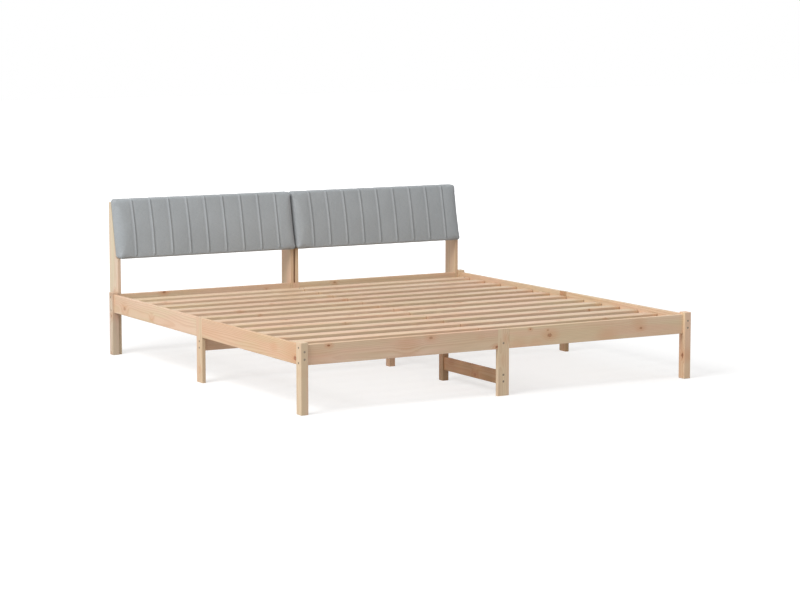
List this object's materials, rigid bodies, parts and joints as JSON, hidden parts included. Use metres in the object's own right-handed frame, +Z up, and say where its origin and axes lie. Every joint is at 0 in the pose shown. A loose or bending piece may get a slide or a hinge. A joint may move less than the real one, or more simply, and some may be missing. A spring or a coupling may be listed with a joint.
{
  "type": "bed frame",
  "caption": "Low pine platform bed frame with square corner legs, board rails, slats and two leaning padded head cushions.",
  "frame": {"origin": "on the floor, under the middle of the whole frame's box", "axes": "+X across the width to the right seen from the foot, +Y from the foot to the head, +Z up"},
  "size_m": [2.055, 2.145, 0.774],
  "materials": {
    "pine": "clear satin, planed",
    "slat_pine": "raw, planed",
    "plywood": "raw plywood",
    "cushion_fabric": "woven light grey cover",
    "webbing": "woven tape",
    "screw_steel": "zinc-plated, dull"
  },
  "bodies": {
    "root": {"centre_beam_foot": "pine", "centre_beam_head": "pine", "centre_post_foot": "pine", "centre_post_head": "pine", "centre_post_mid": "pine", "connector_screws": "screw_steel", "cross_beam_left": "pine", "cross_beam_right": "pine", "cushion_board_left": "plywood", "cushion_board_right": "plywood", "cushion_left": "cushion_fabric", "cushion_right": "cushion_fabric", "foot_centre_leg": "pine", "foot_leg_left": "pine", "foot_leg_right": "pine", "foot_rail_left": "pine", "foot_rail_right": "pine", "head_centre_leg": "pine", "head_leg_left": "pine", "head_leg_right": "pine", "head_rail_left": "pine", "head_rail_right": "pine", "headboard_centre_upright_left": "pine", "headboard_centre_upright_right": "pine", "headboard_rail_left_lower": "pine", "headboard_rail_left_upper": "pine", "headboard_rail_right_lower": "pine", "headboard_rail_right_upper": "pine", "headboard_upright_left": "pine", "headboard_upright_right": "pine", "low_stretcher_foot": "pine", "low_stretcher_head": "pine", "mid_leg_left": "pine", "mid_leg_right": "pine", "side_rail_left_foot": "pine", "side_rail_left_head": "pine", "side_rail_right_foot": "pine", "side_rail_right_head": "pine", "slat_cleat_left_foot": "pine", "slat_cleat_left_head": "pine", "slat_cleat_right_foot": "pine", "slat_cleat_right_head": "pine", "slat_row_01": "slat_pine", "slat_row_02": "slat_pine", "slat_row_03": "slat_pine", "slat_row_04": "slat_pine", "slat_row_05": "slat_pine", "slat_row_06": "slat_pine", "slat_row_07": "slat_pine", "slat_row_08": "slat_pine", "slat_row_09": "slat_pine", "slat_row_10": "slat_pine", "slat_row_11": "slat_pine", "slat_row_12": "slat_pine", "slat_row_13": "slat_pine", "slat_webbing": "webbing", "splice_boards": "pine"}
  },
  "joints": []
}
